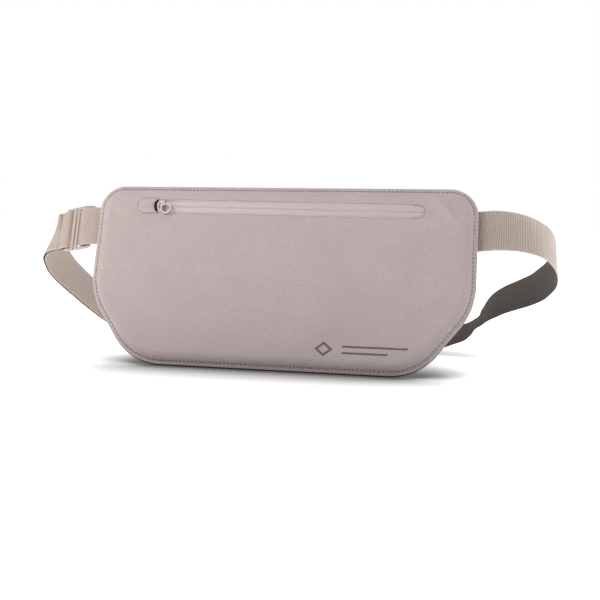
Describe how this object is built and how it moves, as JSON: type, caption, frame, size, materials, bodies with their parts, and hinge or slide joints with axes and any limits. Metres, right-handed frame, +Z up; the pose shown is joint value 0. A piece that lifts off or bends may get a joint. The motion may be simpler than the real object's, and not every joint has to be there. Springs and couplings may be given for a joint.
{
  "type": "money belt",
  "caption": "Flat zipped travel pouch on an adjustable elastic waist belt with a hook buckle.",
  "frame": {"origin": "middle of the back panel's lower seam edge, on the floor", "axes": "+X along the pouch to the side without the buckle, +Y from its front to its back, +Z up; the pouch leans back 18 degrees"},
  "size_m": [0.4106, 0.1421, 0.1314],
  "materials": {
    "panel_fabric": "matt coated weave",
    "spacer_mesh": "open mesh",
    "liner_film": "foil laminate",
    "lining": "plain weave",
    "zip_laminate": "smooth laminate",
    "coil": "nylon",
    "zip_metal": "satin paint",
    "webbing": "ribbed elastic webbing",
    "thread": "polyester thread",
    "buckle": "moulded, satin"
  },
  "bodies": {
    "pouch": {"front_panel": "panel_fabric", "back_panel": "spacer_mesh", "front_liner": "liner_film", "pocket_divider": "lining", "zip_tape_upper": "zip_laminate", "zip_tape_lower": "zip_laminate", "zip_coil_upper": "coil", "zip_coil_lower": "coil", "zip_top_stop": "zip_metal", "zip_end_stop": "zip_metal", "zip_garage": "panel_fabric", "tab_left": "webbing", "bartack_left": "thread", "bartack_right": "thread", "buckle_frame": "buckle", "strap_main": "webbing", "strap_return": "webbing"},
    "slider": {"zip_slider": "zip_metal"},
    "puller": {"zip_puller": "zip_metal"},
    "hook": {"buckle_hook": "buckle", "strap_hook_loop": "webbing"},
    "adjuster": {"tri_glide": "buckle", "glide_loop": "webbing"}
  },
  "joints": [
    {"name": "zip_slide", "type": "slide", "parent": "pouch", "child": "slider", "axis": [1, 0, 0], "range_m": [0, 0.19]},
    {"name": "puller_swing", "type": "hinge", "parent": "slider", "child": "puller", "pos_m": [-0.0941, 0.02913, 0.1165], "axis": [0, -0.309, -0.9511], "range_deg": [0, 170]},
    {"name": "buckle_swing", "type": "hinge", "parent": "pouch", "child": "hook", "pos_m": [-0.16527, 0.04656, 0.09633], "axis": [0, 0.309, 0.9511], "range_deg": [-15, 40]},
    {"name": "adjuster_slide", "type": "slide", "parent": "pouch", "child": "adjuster", "axis": [1, 0, 0], "range_m": [-0.03, 0.055], "deforming": ["strap_return"]}
  ]
}
